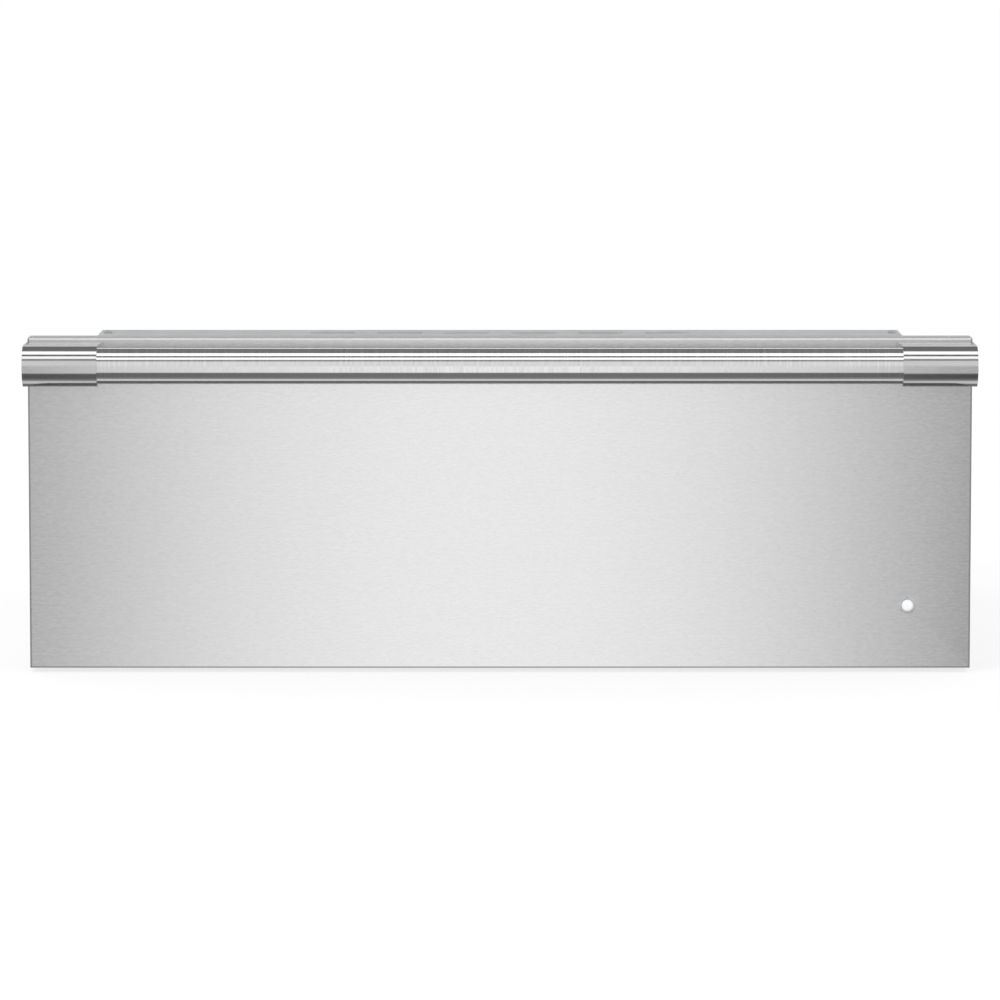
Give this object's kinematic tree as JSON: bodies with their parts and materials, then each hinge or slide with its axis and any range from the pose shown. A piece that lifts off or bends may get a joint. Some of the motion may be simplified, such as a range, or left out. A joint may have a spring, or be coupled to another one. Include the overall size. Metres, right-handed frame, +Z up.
{
  "type": "built-in warming drawer",
  "caption": "Built-in warming drawer with an insulated brushed steel front, full-width bar handle, heated pull-out pan on telescopic slides and a wire rack.",
  "frame": {"origin": "middle of the underside of the case's base pan", "axes": "+X to the right as seen from the front, +Y to the back, +Z up; the front and the handle face -Y"},
  "size_m": [0.7556, 0.6649, 0.269],
  "materials": {
    "front_steel": "brushed stainless steel, grain along the width",
    "handle_steel": "fine turned stainless steel",
    "cavity_steel": "bright annealed stainless steel",
    "galvanised": "galvanised sheet with faint spangle",
    "bright_zinc": "bright zinc plate",
    "screw_steel": "zinc-plated screw steel",
    "heater_alloy": "oxidised nickel alloy sheath",
    "insulation": "glass wool",
    "black_rubber": "silicone rubber",
    "black_plastic": "moulded, fine texture",
    "key_plastic": "moulded, satin",
    "dark_window": "smoked acrylic",
    "lens_white": "milky polycarbonate",
    "pipe_clear": "clear acrylic",
    "ceramic": "unglazed steatite",
    "circuit_board": "green solder mask",
    "wire_sleeve": "silicone insulated leads"
  },
  "bodies": {
    "chassis": {"base_pan": "galvanised", "side_panel_left": "galvanised", "side_panel_right": "galvanised", "rear_panel": "galvanised", "top_cover": "galvanised", "front_frame": "front_steel", "cavity_liner": "cavity_steel", "side_insulation": "insulation", "top_insulation": "insulation", "back_insulation": "insulation", "bottom_insulation": "insulation", "floor_supports": "galvanised", "slide_backings": "galvanised", "slide_outer_left": "bright_zinc", "slide_outer_right": "bright_zinc", "heating_element": "heater_alloy", "element_clips": "cavity_steel", "element_terminals": "ceramic", "temperature_sensor": "cavity_steel", "thermal_cutout": "black_plastic", "power_board": "circuit_board", "board_standoffs": "screw_steel", "terminal_block": "ceramic", "terminal_cover": "galvanised", "cord_gland": "black_plastic", "wiring_loom": "wire_sleeve", "control_fascia": "black_plastic", "display_window": "dark_window", "control_housing": "black_plastic", "control_board": "circuit_board", "indicator_led": "black_plastic", "bumpers": "black_rubber", "chassis_screws": "screw_steel"},
    "drawer": {"front_skin": "front_steel", "front_inner_panel": "galvanised", "front_insulation": "insulation", "door_gasket": "black_rubber", "handle_bar": "handle_steel", "handle_bracket_left": "handle_steel", "handle_bracket_right": "handle_steel", "handle_backings": "galvanised", "indicator_lens": "lens_white", "light_pipe": "pipe_clear", "drawer_side_left": "cavity_steel", "drawer_side_right": "cavity_steel", "drawer_back": "cavity_steel", "pan": "cavity_steel", "slide_inner_left": "bright_zinc", "slide_inner_right": "bright_zinc", "drawer_screws": "screw_steel"},
    "slide_middle_left": {"slide_middle_left": "bright_zinc"},
    "slide_middle_right": {"slide_middle_right": "bright_zinc"},
    "outer_ball_cages": {"outer_ball_cages": "bright_zinc"},
    "inner_ball_cages": {"inner_ball_cages": "bright_zinc"},
    "wire_rack": {"wire_rack": "cavity_steel"},
    "key_power": {"key_power": "key_plastic"},
    "key_low": {"key_low": "key_plastic"},
    "key_medium": {"key_medium": "key_plastic"},
    "key_high": {"key_high": "key_plastic"},
    "key_timer": {"key_timer": "key_plastic"}
  },
  "joints": [
    {"name": "drawer_slide", "type": "slide", "parent": "chassis", "child": "drawer", "axis": [0, -1, 0], "range_m": [0, 0.44]},
    {"name": "slide_middle_left_slide", "type": "slide", "parent": "chassis", "child": "slide_middle_left", "axis": [0, -1, 0], "range_m": [0, 0.22]},
    {"name": "slide_middle_right_slide", "type": "slide", "parent": "chassis", "child": "slide_middle_right", "axis": [0, -1, 0], "range_m": [0, 0.22]},
    {"name": "outer_cages_slide", "type": "slide", "parent": "chassis", "child": "outer_ball_cages", "axis": [0, -1, 0], "range_m": [0, 0.11]},
    {"name": "inner_cages_slide", "type": "slide", "parent": "chassis", "child": "inner_ball_cages", "axis": [0, -1, 0], "range_m": [0, 0.33]},
    {"name": "rack_lift", "type": "slide", "parent": "drawer", "child": "wire_rack", "axis": [0, 0, 1], "range_m": [0, 0.128]},
    {"name": "key_power_press", "type": "slide", "parent": "chassis", "child": "key_power", "axis": [0, 1, 0], "range_m": [0, 0.001], "stiffness_N_per_m": 300},
    {"name": "key_low_press", "type": "slide", "parent": "chassis", "child": "key_low", "axis": [0, 1, 0], "range_m": [0, 0.001], "stiffness_N_per_m": 300},
    {"name": "key_medium_press", "type": "slide", "parent": "chassis", "child": "key_medium", "axis": [0, 1, 0], "range_m": [0, 0.001], "stiffness_N_per_m": 300},
    {"name": "key_high_press", "type": "slide", "parent": "chassis", "child": "key_high", "axis": [0, 1, 0], "range_m": [0, 0.001], "stiffness_N_per_m": 300},
    {"name": "key_timer_press", "type": "slide", "parent": "chassis", "child": "key_timer", "axis": [0, 1, 0], "range_m": [0, 0.001], "stiffness_N_per_m": 300}
  ],
  "couplings": [
    {"joint": "slide_middle_left_slide", "follows": "drawer_slide", "ratio": 0.5},
    {"joint": "slide_middle_right_slide", "follows": "drawer_slide", "ratio": 0.5},
    {"joint": "outer_cages_slide", "follows": "drawer_slide", "ratio": 0.25},
    {"joint": "inner_cages_slide", "follows": "drawer_slide", "ratio": 0.75}
  ]
}
